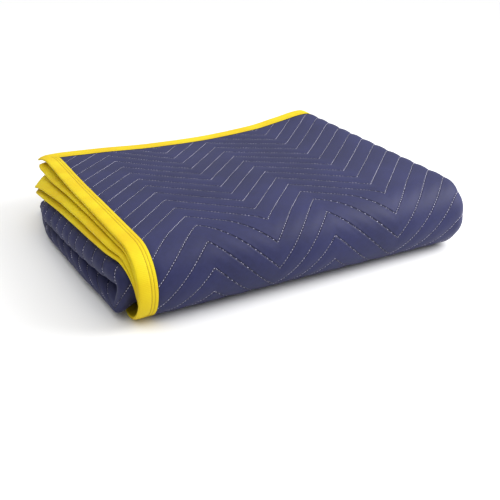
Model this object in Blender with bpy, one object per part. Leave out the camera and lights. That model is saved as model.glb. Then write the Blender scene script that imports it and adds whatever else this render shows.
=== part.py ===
# Moving blanket of quilted cloth with a bound edge, folded to sixteen layers.
# The cloth is 1.70 m by 2.04 m; folded it is 0.54 m by 0.44 m by 0.10 m.
# Sheet coordinates: s along the length, t across the width, n through the cloth.

import math

import bmesh
import bpy
import numpy as np
from mathutils import Vector
from mathutils.geometry import delaunay_2d_cdt

# Layer stack
PITCH = 0.0065
SLAB = 2 * PITCH
LAYERS = 16
STACK = LAYERS * PITCH

# Folded outline
PASS = 0.485
LOOP_X = 0.001
WIDTH = 0.436
FRONT = 0.0511
RUN = WIDTH - FRONT
TURN = 2 * SLAB

# Cloth thickness, as half heights from its middle
HEM_HALF = 0.0010
CLOTH_HALF = 0.0021
CREST = 0.0023
GROOVE = 0.0014
SOLE = 0.0024

# Binding tape
TAPE_WIDE = 0.0250
TAPE_INNER = 0.0017
TAPE_OUTER = 0.0024
TAPE_WEB = 0.0009
CLOTH_IN = 0.0016
RAMP = 0.0280
TIP_LINE = 0.010
DROOP_REACH = 0.032

# Quilting: stitch rows 33.5 mm apart, bending at these places
ROW = 0.0335
ZIGZAG = (
    # along, across
    (0.0000, 0.0110),
    (0.0120, 0.0000),
    (0.1020, 0.0880),
    (0.1940, 0.0000),
    (0.2800, 0.0930),
    (0.3810, 0.0020),
    (0.4850, 0.1060),
)

# Lengths along the fold paths
BACK_RUN = RUN - PITCH / 2 - TAPE_OUTER
FLAP = RUN + math.pi * TURN + BACK_RUN
EDGE_TURN = math.pi * PITCH / 2
CLOTH_T = 2 * FLAP + EDGE_TURN
WIDE_TURN = math.pi * 1.5 * SLAB
TIGHT_TURN = math.pi * SLAB / 2
INNER_PASS = PASS - LOOP_X
END_1 = PASS
END_2 = END_1 + WIDE_TURN
END_3 = END_2 + INNER_PASS
END_4 = END_3 + TIGHT_TURN
END_5 = END_4 + INNER_PASS
END_6 = END_5 + TIGHT_TURN
CLOTH_S = END_6 + PASS

# Left end of each layer, in mm to the right, along the path from the top's rear edge
LEFT_END = (
    # path, layer 1, layer 2, layer 3, layer 4, loop
    (0.0000, 7.0, 6.0, -14.0, -14.5, 10.0),
    (0.0280, 12.5, 5.0, -13.0, -14.5, 3.0),
    (0.0600, 12.0, 3.4, -12.0, -15.0, -6.0),
    (0.0900, 10.5, 2.3, -11.0, -14.0, -9.0),
    (0.1250, 8.5, 2.3, -9.5, -13.0, -10.0),
    (0.1800, 6.1, 2.0, -8.5, -12.5, -10.0),
    (0.2700, 3.9, 1.8, -8.5, -13.0, -9.0),
    (0.3849, 2.1, 1.8, -4.0, -6.0, -3.0),
    (0.4257, 2.0, 2.0, 2.0, 2.0, 0.0),
    (0.4461, 2.0, 8.0, 9.0, 10.0, 0.0),
    (0.4666, 4.0, 22.0, 23.0, 24.0, -2.0),
    (0.5066, 14.0, 46.0, 47.0, 48.0, -4.0),
    (0.5866, 50.0, 60.0, 60.0, 60.0, -8.0),
    (0.7166, 60.0, 60.0, 60.0, 60.0, -14.0),
    (0.7666, 60.0, 60.0, 60.0, 60.0, -10.0),
    (0.8460, 60.0, 60.0, 60.0, 60.0, 6.0),
)

# Droop of each layer's left end, in mm, along the same path
LEFT_DROOP = (
    # path, layer 1, layer 2, layer 3, layer 4, loop, loop's tip
    (0.0000, 3.0, 4.2, 17.0, 17.5, 18.0, 0.0),
    (0.0280, 0.5, 4.8, 12.5, 15.0, 15.5, 0.0),
    (0.0600, 0.0, 5.5, 8.5, 11.7, 12.5, 0.0),
    (0.0900, 0.0, 4.5, 7.0, 10.6, 11.5, 0.0),
    (0.1250, 0.0, 3.0, 5.4, 9.8, 11.0, 0.0),
    (0.1800, 0.0, 1.5, 4.0, 8.0, 9.5, 0.0),
    (0.2700, 0.0, 0.5, 1.0, 3.5, 6.0, 0.0),
    (0.3849, 0.0, 0.0, 0.0, 0.0, 0.0, 0.0),
    (0.4359, 0.0, 0.0, 0.0, 0.0, 0.0, 0.0),
    (0.4461, 0.0, 0.0, 0.0, 0.0, 0.0, 3.0),
    (0.4666, 0.0, 0.0, 0.0, 0.0, 2.0, 15.0),
    (0.5066, 0.0, 0.0, 0.0, 0.0, 14.0, 6.0),
    (0.5866, 0.0, 0.0, 0.0, 0.0, 19.0, 0.0),
    (0.7166, 0.0, 0.0, 0.0, 0.0, 20.0, 0.0),
    (0.8460, 0.0, 0.0, 0.0, 0.0, 19.5, 0.0),
)

# Rear edge of each layer at the left end, in mm to the front, and its fades
REAR_END = (0.0, 14.0, 44.0, 46.0, 50.0)
REAR_FADE_X = 0.200
REAR_FADE_Y = 0.270

# Gaps that stand open at the left end, in mm, by distance from the rear
OPEN_GAPS = (
    # from rear, below layer 1, below layer 2, below layer 3, below layer 8
    (0.0000, 0.2, 0.6, 0.2, 8.0),
    (0.0280, 1.0, 0.8, 1.0, 8.0),
    (0.0600, 2.5, 1.8, 1.5, 7.5),
    (0.0900, 3.0, 1.8, 2.0, 6.0),
    (0.1250, 2.5, 1.0, 2.0, 3.0),
    (0.1800, 0.5, 0.6, 1.0, 1.0),
    (0.2700, 0.0, 0.0, 0.0, 0.0),
)
OPEN_BELOW = (1, 2, 3, 8)
OPEN_FADE = (
    # from left, share left
    (0.000, 1.00),
    (0.102, 0.45),
    (0.194, 0.10),
    (0.280, 0.00),
)

# How far the top lies below level, in mm at the rear edge, and its fade
SAG_ALONG = (
    # from left, drop
    (0.000, 8.0),
    (0.102, 11.5),
    (0.194, 17.5),
    (0.280, 19.5),
    (0.381, 15.0),
    (0.435, 7.0),
    (0.485, 0.0),
)
SAG_ACROSS = (
    # from rear, share left
    (0.0000, 1.00),
    (0.0280, 0.95),
    (0.0900, 0.76),
    (0.1800, 0.42),
    (0.2700, 0.15),
    (0.3849, 0.00),
)

# Mesh lines across the top run, the bottom run and along a pass
TOP_LINES = (0.060, 0.090, 0.125, 0.180, 0.270)
BACK_LINES = (0.040, 0.120, 0.250, 0.300)
PASS_LINES = (0.102, 0.194, 0.280, 0.381, 0.435)
FRONT_STEPS = 8
EDGE_STEPS = 4
WIDE_STEPS = 8
TIGHT_STEPS = 6


def column(table, index):
    """One named column of a table as an array."""
    return np.array([row[index] for row in table])


def lookup(table, where, index):
    """Straight-line reading of one column of a table."""
    return np.interp(where, column(table, 0), column(table, index))


def half_fold(t, n):
    """First fold, across the width: the two halves lie on each other."""
    r = PITCH / 2
    angle = np.clip((t - FLAP) / r, 0, math.pi)
    back = np.maximum(t - FLAP - EDGE_TURN, 0)
    y1 = np.minimum(t, FLAP) + (r + n) * np.sin(angle) - back
    z1 = (r + n) * np.cos(angle)
    return y1, z1


def book_fold(s, z1):
    """Second fold, along the length: four passes between the ends."""
    wide = 1.5 * SLAB + z1
    loop = SLAB / 2 + z1
    tight = SLAB / 2 - z1
    turn_1 = np.clip((s - END_1) / (1.5 * SLAB), 0, math.pi)
    turn_2 = np.clip((s - END_3) / (SLAB / 2), 0, math.pi)
    turn_3 = np.clip((s - END_5) / (SLAB / 2), 0, math.pi)
    cases = [s <= END_1, s <= END_2, s <= END_3, s <= END_4, s <= END_5, s <= END_6]
    x = np.select(
        cases,
        [
            s,
            PASS + wide * np.sin(turn_1),
            PASS - (s - END_2),
            LOOP_X - loop * np.sin(turn_2),
            LOOP_X + (s - END_4),
            PASS + tight * np.sin(turn_3),
        ],
        PASS - (s - END_6),
    )
    z2 = np.select(
        cases,
        [
            wide,
            wide * np.cos(turn_1),
            -wide,
            -SLAB - loop * np.cos(turn_2),
            -tight,
            -tight * np.cos(turn_3),
        ],
        tight,
    )
    return x, z2


def by_layer(values, z2):
    """Pick each point's value by its layer, blending inside the gaps."""
    layer = (2 * SLAB - z2) / PITCH + 0.5
    total = values[0] + 0.0 * layer
    for k in range(1, 5):
        step = np.clip((layer - k - 0.39) / 0.22, 0, 1)
        total += (values[k] - values[k - 1]) * step
    return 0.001 * total


def left_shift(x, y1, z2):
    """Slide each layer's left end in or out, fading along the pass."""
    values = [lookup(LEFT_END, y1, k) for k in range(1, 6)]
    fade = np.clip(1 - np.maximum(x, 0) / PASS, 0, 1) ** 2
    return x + by_layer(values, z2) * fade


def rear_shift(x, y1, z2):
    """Draw the inner layers' rear edges forward at the left end."""
    fade = np.clip(1 - x / REAR_FADE_X, 0, 1) ** 2
    fade *= np.clip(1 - y1 / REAR_FADE_Y, 0, 1)
    return y1 + by_layer(REAR_END, z2) * fade


def left_droop(x, y1, z2):
    """How far each layer's left end hangs down."""
    values = [lookup(LEFT_DROOP, y1, k) for k in range(1, 6)]
    tips = [0.0, 0.0, 0.0, 0.0, lookup(LEFT_DROOP, y1, 6)]
    reach = np.interp(y1, (RUN, RUN + math.pi * TURN), (DROOP_REACH, RAMP))
    droop = by_layer(values, z2) * np.clip(1 - x / reach, 0, 1)
    return droop + by_layer(tips, z2) * np.clip((TIP_LINE - x) / 0.022, 0, 1)


def front_fold(y1, z2):
    """Third fold, around the front: the stack doubles to sixteen layers."""
    reach = TURN + z2
    angle = np.clip((y1 - RUN) / TURN, 0, math.pi)
    back = np.maximum(y1 - RUN - math.pi * TURN, 0)
    y = WIDTH - np.minimum(y1, RUN) - reach * np.sin(angle) + back
    z = reach * np.cos(angle)
    return y, z + STACK / 2


def settle(x, y, z):
    """Open the gaps at the left end and let the top sag onto a flat sole."""
    rear = WIDTH - y
    fade = lookup(OPEN_FADE, x, 1)
    gaps = []
    for k, below in enumerate(OPEN_BELOW):
        gaps.append((0.001 * lookup(OPEN_GAPS, rear, k + 1) * fade, below))
    drop = 0.001 * lookup(SAG_ALONG, x, 1) * lookup(SAG_ACROSS, rear, 1)
    squash = (drop + sum(gap for gap, below in gaps)) / STACK
    out = (z - PITCH / 2 + SOLE) * (1 - squash)
    for gap, below in gaps:
        middle = STACK - below * PITCH
        out += gap * np.clip((z - middle) / 0.0018 + 0.5, 0, 1)
    return out


def folded(s, t, n):
    """Place points of the flat cloth in the folded blanket."""
    s = np.asarray(s, dtype=float)
    t = np.asarray(t, dtype=float)
    n = np.asarray(n, dtype=float)
    y1, z1 = half_fold(t, n)
    x, z2 = book_fold(s, z1)
    droop = left_droop(x, y1, z2)
    path = rear_shift(x, y1, z2)
    x = left_shift(x, y1, z2)
    y, z = front_fold(path, z2)
    z = settle(x, y, z) - droop
    return np.stack([x, y, z], axis=1)


def steps(start, length, count):
    """Evenly spaced stations after the start, with the last one."""
    return [start + length * k / count for k in range(1, count + 1)]


def width_lines(edge):
    """Mesh lines across the cloth, starting with the given edge lines."""
    half = list(edge) + list(TOP_LINES) + [RUN]
    half += steps(RUN, math.pi * TURN, FRONT_STEPS)
    rear = RUN + math.pi * TURN
    half += [rear + place for place in BACK_LINES] + [FLAP]
    other = [CLOTH_T - place for place in reversed(half)]
    return half + steps(FLAP, EDGE_TURN, EDGE_STEPS)[:-1] + other


def length_lines(edge):
    """Mesh lines along the cloth, starting with the given edge lines."""
    lines = list(edge) + list(PASS_LINES) + [PASS]
    lines += steps(END_1, WIDE_TURN, WIDE_STEPS)
    lines += [END_2 + PASS - place for place in reversed(PASS_LINES)]
    lines += [END_3 - RAMP, END_3 - TIP_LINE, END_3]
    lines += steps(END_3, TIGHT_TURN, TIGHT_STEPS)
    lines += [END_4 + TIP_LINE, END_4 + RAMP]
    lines += [END_4 + place for place in PASS_LINES]
    lines += [END_5]
    lines += steps(END_5, TIGHT_TURN, TIGHT_STEPS)
    lines += [CLOTH_S - place for place in reversed(PASS_LINES)]
    lines += [CLOTH_S - place for place in reversed(edge)]
    return lines


def edge_distance(s, t):
    """Distance from the nearest edge of the cloth."""
    return min(s, t, CLOTH_S - s, CLOTH_T - t)


def outer_height(s, t):
    """Half height of the outer face at a mesh crossing."""
    if edge_distance(s, t) < TAPE_WIDE + 0.001:
        return HEM_HALF
    bottom = RUN + math.pi * TURN - 0.001 < t < FLAP
    if bottom and s < END_1 + 0.001:
        return SOLE
    return CLOTH_HALF


def inner_height(s, t):
    """Half height of the inner face at a mesh crossing."""
    if edge_distance(s, t) < TAPE_WIDE + 0.001:
        return HEM_HALF
    return CLOTH_HALF


def arc_place(v):
    """Sheet coordinate of a length measured on the outermost layer."""
    stretch = (FRONT - 0.0002) / TURN
    return v if v < RUN else RUN + (v - RUN) / stretch


def quilt_points():
    """Stitch rows and the crests between them on the outermost layer."""
    along = column(ZIGZAG, 0)
    across = column(ZIGZAG, 1)
    stretch = (FRONT - 0.0002) / TURN
    last = RUN + math.pi * TURN * stretch
    places = [RAMP, 0.048, 0.066, 0.084, along[2]]
    for left, right in zip(along[2:-1], along[3:]):
        places += [left + (right - left) * k / 6 for k in range(1, 7)]
    points = []
    links = []
    count = int(last / ROW) * 2 + 10
    for row in range(-8, count):
        height = GROOVE if row % 2 == 0 else CREST
        before = None
        for k, s in enumerate(places):
            v = row * ROW / 2 - np.interp(s, along, across)
            inside = RAMP <= v <= last
            coarse = v < RUN - 0.02 and k % 2 == 1
            if coarse and inside:
                continue
            here = None
            if inside:
                here = add_point(points, s, arc_place(v), height)
            elif before is not None and before[3]:
                edge = RAMP if v < RAMP else last
                share = (edge - before[1]) / (v - before[1])
                mid = before[0] + share * (s - before[0])
                here = add_point(points, mid, arc_place(edge), height)
            if inside and before is not None and not before[3]:
                edge = RAMP if before[1] < RAMP else last
                share = (edge - before[1]) / (v - before[1])
                mid = before[0] + share * (s - before[0])
                start = add_point(points, mid, arc_place(edge), height)
                if start != here:
                    links.append((start, here))
            if here is not None and before is not None and before[3]:
                if here != before[2]:
                    links.append((before[2], here))
            before = (s, v, here, inside)
    return points, links


def add_point(points, s, t, height):
    """Add a point unless one lies there already, and give its number."""
    for k in range(len(points) - 1, max(-1, len(points) - 160), -1):
        if abs(points[k][0] - s) < 0.0015 and abs(points[k][1] - t) < 0.0015:
            return k
    if t > RUN + math.pi * TURN - 0.0001:
        height = SOLE
    points.append((s, t, height))
    return len(points) - 1


def lattice_points(s_lines, t_lines, height, skip):
    """Crossings of the mesh lines, leaving out those inside the quilting."""
    points = []
    number = {}
    for i, s in enumerate(s_lines):
        for j, t in enumerate(t_lines):
            if skip(s, t):
                continue
            number[i, j] = len(points)
            points.append((s, t, height(s, t)))
    return points, number


def triangulate(points, links):
    """Triangles over the flat cloth that keep the given links."""
    flat = [Vector((p[0], p[1])) for p in points]
    result = delaunay_2d_cdt(flat, links, [], 0, 0.000001)
    names = [ids[0] for ids in result[3]]
    return [tuple(names[v] for v in face) for face in result[2]]


def slants_up(s, t):
    """Whether a mesh cell is split from low s and t to high s and t."""
    forward = s < END_2 or END_4 < s < END_6
    near = t < CLOTH_T / 2
    return forward == near


def lattice_links(number, s_lines, t_lines):
    """Links along the mesh lines and across each cell."""
    last_i = len(s_lines) - 1
    last_j = len(t_lines) - 1
    links = []
    for i, j in number:
        for other in ((i + 1, j), (i, j + 1)):
            if other in number:
                links.append((number[i, j], number[other]))
        cell = ((i, j), (i + 1, j), (i, j + 1), (i + 1, j + 1))
        if not all(key in number for key in cell):
            continue
        middle_s = (s_lines[i] + s_lines[i + 1]) / 2
        middle_t = (t_lines[j] + t_lines[j + 1]) / 2
        up = slants_up(middle_s, middle_t)
        if i in (0, last_i - 1) and j in (0, last_j - 1):
            up = (i == 0) == (j == 0)
        if up:
            links.append((number[cell[0]], number[cell[3]]))
        else:
            links.append((number[cell[1]], number[cell[2]]))
    return links


def outer_face(s_lines, t_lines):
    """Points, triangles and crossing numbers of the outer face."""
    quilt, quilt_links = quilt_points()
    far = RUN + math.pi * TURN

    def skip(s, t):
        inside = RAMP - 0.0001 < s < PASS + 0.0001
        return inside and RAMP - 0.0001 < t < far + 0.0001

    points, number = lattice_points(s_lines, t_lines, outer_height, skip)
    first = len(points)
    points = points + quilt
    links = [(a + first, b + first) for a, b in quilt_links]
    links += lattice_links(number, s_lines, t_lines)
    for s, t in region_border(points, first, s_lines, t_lines):
        height = SOLE if t > far - 0.0001 else CLOTH_HALF
        points.append((s, t, height))
    return points, triangulate(points, links), number


def region_border(points, first, s_lines, t_lines):
    """Crossings on the border of the quilting that no stitch row is near."""
    far = RUN + math.pi * TURN
    wanted = [(s, RAMP) for s in s_lines if RAMP - 0.0001 < s < PASS + 0.0001]
    wanted += [(s, far) for s in s_lines if RAMP - 0.0001 < s < PASS + 0.0001]
    wanted += [(RAMP, t) for t in t_lines if RAMP + 0.001 < t < far - 0.001]
    wanted += [(PASS, t) for t in t_lines if RAMP + 0.001 < t < far - 0.001]
    kept = []
    for s, t in wanted:
        near = False
        for p in points[first:]:
            if abs(p[0] - s) < 0.0035 and abs(p[1] - t) < 0.0035:
                near = True
                break
        if not near:
            kept.append((s, t))
    return kept


def inner_face(s_lines, t_lines):
    """Points, triangles and crossing numbers of the inner face."""
    points, number = lattice_points(
        s_lines, t_lines, inner_height, lambda s, t: False
    )
    links = lattice_links(number, s_lines, t_lines)
    return points, triangulate(points, links), number


def rim(outer, inner, s_count, t_count):
    """Faces that join the two faces of the cloth along its outline."""
    ring = [(i, 0) for i in range(s_count - 1)]
    ring += [(s_count - 1, j) for j in range(t_count - 1)]
    ring += [(i, t_count - 1) for i in range(s_count - 1, 0, -1)]
    ring += [(0, j) for j in range(t_count - 1, 0, -1)]
    faces = []
    for k, here in enumerate(ring):
        after = ring[(k + 1) % len(ring)]
        faces.append((outer[here], outer[after], inner[after], inner[here]))
    return faces


def finish(name, vertices, faces, material):
    """Make a closed mesh object with its faces turned outward."""
    mesh = bpy.data.meshes.new(name)
    mesh.from_pydata([tuple(v) for v in vertices], [], faces)
    build = bmesh.new()
    build.from_mesh(mesh)
    bmesh.ops.triangulate(build, faces=build.faces[:])
    bmesh.ops.recalc_face_normals(build, faces=build.faces[:])
    build.to_mesh(mesh)
    build.free()
    mesh.update()
    mesh.materials.append(material)
    body = bpy.data.objects.new(name, mesh)
    bpy.context.scene.collection.objects.link(body)
    return body


def cloth_material():
    """Dark blue quilted cloth."""
    material = bpy.data.materials.new("navy_cloth")
    material.use_nodes = True
    shader = material.node_tree.nodes["Principled BSDF"]
    shader.inputs["Base Color"].default_value = (0.055, 0.06, 0.15, 1.0)
    shader.inputs["Roughness"].default_value = 0.8
    return material


def tape_material():
    """Yellow woven tape."""
    material = bpy.data.materials.new("yellow_tape")
    material.use_nodes = True
    shader = material.node_tree.nodes["Principled BSDF"]
    shader.inputs["Base Color"].default_value = (0.86, 0.62, 0.03, 1.0)
    shader.inputs["Roughness"].default_value = 0.65
    return material


def pad_shape():
    """Vertices and faces of the quilted cloth, one folded body."""
    edge = (CLOTH_IN, TAPE_WIDE, RAMP)
    s_lines = length_lines(edge)
    t_lines = width_lines(edge)
    top, top_faces, top_number = outer_face(s_lines, t_lines)
    low, low_faces, low_number = inner_face(s_lines, t_lines)
    top = np.array(top)
    low = np.array(low)
    upper = folded(top[:, 0], top[:, 1], top[:, 2])
    lower = folded(low[:, 0], low[:, 1], -low[:, 2])
    first = len(upper)
    faces = [tuple(reversed(face)) for face in top_faces]
    faces += [tuple(v + first for v in face) for face in low_faces]
    shifted = {key: value + first for key, value in low_number.items()}
    faces += rim(top_number, shifted, len(s_lines), len(t_lines))
    return np.concatenate([upper, lower]), faces


def tape_section():
    """Cross-section of the folded tape: edge distance and height."""
    return (
        (TAPE_WIDE, TAPE_OUTER),
        (TAPE_WEB, TAPE_OUTER),
        (0.0, TAPE_INNER),
        (0.0, -TAPE_INNER),
        (TAPE_WEB, -TAPE_OUTER),
        (TAPE_WIDE, -TAPE_OUTER),
        (TAPE_WIDE, -TAPE_INNER),
        (TAPE_WEB, -TAPE_INNER),
        (TAPE_WEB, TAPE_INNER),
        (TAPE_WIDE, TAPE_INNER),
    )


def tape_ring(e, s_lines, t_lines):
    """Closed path at one edge distance around the cloth."""
    far_s = CLOTH_S - e
    far_t = CLOTH_T - e
    path = [(e, e)] + [(s, e) for s in s_lines]
    path += [(far_s, e)] + [(far_s, t) for t in t_lines]
    path += [(far_s, far_t)] + [(s, far_t) for s in reversed(s_lines)]
    path += [(e, far_t)] + [(e, t) for t in reversed(t_lines)]
    return path


def binding_shape():
    """Vertices and faces of the tape round the edge, with mitred corners."""
    edge = (RAMP,)
    s_lines = length_lines(edge)
    t_lines = width_lines(edge)
    section = tape_section()
    paths = [np.array(tape_ring(e, s_lines, t_lines)) for e, n in section]
    rings = []
    for path, (e, n) in zip(paths, section):
        rings.append(folded(path[:, 0], path[:, 1], np.full(len(path), n)))
    count = len(paths[0])
    faces = []
    for k in range(len(section)):
        after = (k + 1) % len(section)
        ring = k * count
        other = after * count
        for i in range(count):
            j = (i + 1) % count
            across = paths[after][j] - paths[k][i]
            middle = (paths[after][j] + paths[k][i]) / 2
            if (across[0] * across[1] > 0) == slants_up(*middle):
                faces.append((ring + i, ring + j, other + j))
                faces.append((ring + i, other + j, other + i))
            else:
                faces.append((ring + i, ring + j, other + i))
                faces.append((ring + j, other + j, other + i))
    return np.concatenate(rings), faces


def build_blanket():
    """Both bodies, with the middle of their outline over the origin."""
    pad, pad_faces = pad_shape()
    tape, tape_faces = binding_shape()
    every = np.concatenate([pad, tape])
    shift = -(every.min(axis=0) + every.max(axis=0)) / 2
    shift[2] = -every[:, 2].min()
    finish("pad", pad + shift, pad_faces, cloth_material())
    finish("binding", tape + shift, tape_faces, tape_material())


def clear_scene():
    """Remove what the scene starts with."""
    for body in list(bpy.data.objects):
        bpy.data.objects.remove(body)


clear_scene()
build_blanket()
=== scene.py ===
# Moving blanket of quilted cloth with a bound edge, folded to sixteen layers.
# Lengths are in metres.
# Sheet coordinates: s along the length, t across, n through the cloth.

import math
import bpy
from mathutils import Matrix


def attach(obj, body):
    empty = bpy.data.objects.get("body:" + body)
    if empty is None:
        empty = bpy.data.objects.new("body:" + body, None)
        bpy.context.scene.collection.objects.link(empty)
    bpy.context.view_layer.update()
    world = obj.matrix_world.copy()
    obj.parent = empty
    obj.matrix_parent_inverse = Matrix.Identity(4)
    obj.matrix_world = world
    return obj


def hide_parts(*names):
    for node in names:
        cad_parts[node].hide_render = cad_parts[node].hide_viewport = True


bl_info = {
    "name": "Folded moving blanket",
    "version": (1, 0, 0),
    "blender": (4, 5, 0),
    "location": "3D View > Sidebar > Blanket",
    "description": "Quilted cloth with a bound edge, folded flat as for storage",
    "category": "Object",
}

import bpy
import numpy as np
from mathutils import Vector
from mathutils.geometry import delaunay_2d_cdt

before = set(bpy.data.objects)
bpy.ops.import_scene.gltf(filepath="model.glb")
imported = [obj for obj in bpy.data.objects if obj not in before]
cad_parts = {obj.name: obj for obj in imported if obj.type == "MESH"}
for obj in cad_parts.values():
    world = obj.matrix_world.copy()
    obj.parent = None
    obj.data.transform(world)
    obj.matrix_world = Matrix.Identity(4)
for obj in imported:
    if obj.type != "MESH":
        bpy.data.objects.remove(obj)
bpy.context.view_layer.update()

# Layer stack
PITCH = 0.0065
SLAB = 2 * PITCH
LAYERS = 16
STACK = LAYERS * PITCH

# Folded outline
PASS = 0.485
LOOP_X = 0.001
WIDTH = 0.436
FRONT = 0.0511
RUN = WIDTH - FRONT
TURN = 2 * SLAB
MIDDLE = (-0.24115064, -0.217975)

# Cloth thickness, as half heights from its middle
HEM_HALF = 0.0010
SOLE = 0.0024
SOLE_START = 0.012
PUFF_RISE = 0.007

# Binding tape
TAPE_WIDE = 0.0250
SEAMS = (TAPE_WIDE - 0.0085, TAPE_WIDE - 0.0045)
TAPE_OUTER = 0.0024
CLOTH_IN = 0.0016
RAMP = 0.0280
SEAM_HEIGHT = 0.00195

# Quilting: places where the stitch rows bend on the top, then a steady zigzag
ZIGZAG = (
    # along, across
    (0.0000, 0.0110),
    (0.0120, 0.0000),
    (0.1020, 0.0880),
    (0.1940, 0.0000),
    (0.2800, 0.0930),
    (0.3810, 0.0020),
    (0.5050, 0.1260),
)
LEG = 0.0920

# Lengths along the fold paths
BACK_RUN = RUN - PITCH / 2 - TAPE_OUTER
FLAP = RUN + math.pi * TURN + BACK_RUN
EDGE_TURN = math.pi * PITCH / 2
CLOTH_T = 2 * FLAP + EDGE_TURN
WIDE_TURN = math.pi * 1.5 * SLAB
TIGHT_TURN = math.pi * SLAB / 2
INNER_PASS = PASS - LOOP_X
END_1 = PASS
END_2 = END_1 + WIDE_TURN
END_3 = END_2 + INNER_PASS
END_4 = END_3 + TIGHT_TURN
END_5 = END_4 + INNER_PASS
END_6 = END_5 + TIGHT_TURN
CLOTH_S = END_6 + PASS
FRONT_END = RUN + math.pi * TURN

# Left end of each layer, in mm to the right, along the path from the top's rear edge
LEFT_END = (
    # path, layer 1, layer 2, layer 3, layer 4, loop
    (0.0000, 5.0, 2.5, -15.0, -14.0, 10.0),
    (0.0120, 9.5, 4.0, -14.0, -14.0, 6.0),
    (0.0335, 13.0, 4.2, -13.0, -14.5, -2.0),
    (0.0600, 12.0, 3.4, -12.0, -15.0, -8.0),
    (0.0900, 10.5, 2.3, -11.0, -14.0, -11.0),
    (0.1250, 8.5, 2.3, -9.5, -13.0, -10.0),
    (0.1800, 6.1, 2.0, -8.5, -12.5, -10.0),
    (0.2700, 3.9, 1.8, -8.5, -13.0, -9.0),
    (0.3500, 2.4, 1.4, -7.5, -11.0, -6.0),
    (0.3900, 2.0, 1.8, -3.0, -5.0, -2.0),
    (0.4257, 2.0, 3.0, 3.7, 4.0, 0.0),
    (0.4461, 2.0, 8.0, 9.0, 10.0, -1.0),
    (0.4560, 3.0, 24.0, 26.0, 27.0, -2.0),
    (0.4666, 4.0, 40.0, 41.0, 42.0, -3.0),
    (0.5066, 14.0, 50.0, 51.0, 52.0, -4.0),
    (0.5866, 50.0, 60.0, 60.0, 60.0, -8.0),
    (0.7166, 60.0, 60.0, 60.0, 60.0, -8.0),
    (0.7900, 60.0, 60.0, 60.0, 60.0, 2.0),
    (0.8460, 60.0, 60.0, 60.0, 60.0, 14.0),
)

# Droop of each layer's left end, in mm, along the same path
LEFT_DROOP = (
    # path, layer 1, layer 2, layer 3, layer 4, loop, loop's tip
    (0.0000, 2.0, 4.0, 18.0, 18.5, 23.0, 2.0),
    (0.0120, 1.0, 4.5, 15.5, 17.0, 22.0, 2.5),
    (0.0335, 0.0, 5.0, 11.7, 14.5, 19.0, 3.5),
    (0.0600, 0.0, 5.5, 8.5, 11.7, 16.0, 5.0),
    (0.0900, 0.0, 4.5, 7.0, 10.6, 14.0, 6.5),
    (0.1250, 0.0, 3.0, 5.4, 9.8, 12.5, 7.5),
    (0.1800, 0.0, 1.5, 4.0, 8.5, 11.0, 8.5),
    (0.2700, 0.0, 0.5, 1.0, 4.0, 7.0, 9.0),
    (0.3500, 0.0, 0.0, 0.0, 0.6, 1.5, 9.0),
    (0.3849, 0.0, 0.0, 0.0, 0.0, 0.0, 7.0),
    (0.4257, 0.0, 0.0, 0.0, 0.0, 0.0, 5.0),
    (0.4461, 0.0, 0.0, 0.0, 0.0, 4.0, 6.0),
    (0.4560, 0.0, 0.0, 0.0, 0.0, 10.0, 7.0),
    (0.4666, 0.0, 0.0, 0.0, 0.0, 16.0, 6.0),
    (0.5066, 0.0, 0.0, 0.0, 0.0, 18.0, 4.0),
    (0.5866, 0.0, 0.0, 0.0, 0.0, 20.0, 1.0),
    (0.7166, 0.0, 0.0, 0.0, 0.0, 21.0, 0.5),
    (0.8460, 0.0, 0.0, 0.0, 0.0, 19.5, 0.0),
)

# Corners that bend down at the rear left, in mm, and how far they reach
CORNER_BEND = (3.0, -1.2, 1.2, -0.6, 0.0)
CORNER_ROUND = (3.5, 4.5, 3.5, 4.5, 0.0)
CORNER_REACH = 0.020

# Where along x the drooping ends, and over what length, for layers and loop tips
DROOP_END = 0.044
DROOP_FADE = 0.050
TIP_END = 0.012
TIP_FADE = 0.026

# Rear edge of each layer at the left end, in mm to the front, and its fades
REAR_END = (0.0, 10.0, 44.0, 46.0, 50.0)
REAR_FADE_X = 0.200
REAR_FADE_Y = 0.270

# Gaps that stand open at the left end, in mm, by distance from the rear
OPEN_GAPS = (
    # from rear, below layer 1, below layer 2, below layer 3, below layer 8
    (0.0000, 2.0, 0.6, 0.8, 10.5),
    (0.0335, 2.6, 0.8, 1.5, 10.0),
    (0.0600, 3.2, 1.8, 1.8, 9.0),
    (0.0900, 3.0, 1.8, 2.0, 7.0),
    (0.1250, 2.5, 1.0, 2.0, 3.5),
    (0.1800, 0.5, 0.6, 1.0, 1.2),
    (0.2700, 0.0, 0.0, 0.0, 0.0),
)
OPEN_BELOW = (1, 2, 3, 8)
OPEN_DEPTH = 0.0018

# Share of a layer after its middle where the next layer's values begin, and their blend
BLEND_START = 0.38
BLEND_SHARE = 0.24

OPEN_FADE = (
    # from left, share left
    (0.000, 1.00),
    (0.102, 0.45),
    (0.194, 0.10),
    (0.280, 0.00),
)

# How far the top lies below level, in mm at the rear edge, and its fade
SAG_ALONG = (
    # from left, drop
    (0.000, 8.0),
    (0.102, 11.5),
    (0.194, 17.5),
    (0.280, 19.5),
    (0.381, 15.0),
    (0.435, 7.0),
    (0.485, 0.0),
)
SAG_ACROSS = (
    # from rear, share left
    (0.0000, 1.00),
    (0.0335, 0.94),
    (0.0900, 0.76),
    (0.1800, 0.42),
    (0.2700, 0.15),
    (0.3849, 0.00),
)


# Folding


def column(table, index):
    """One named column of a table as an array."""
    return np.array([row[index] for row in table], dtype=float)


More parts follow.
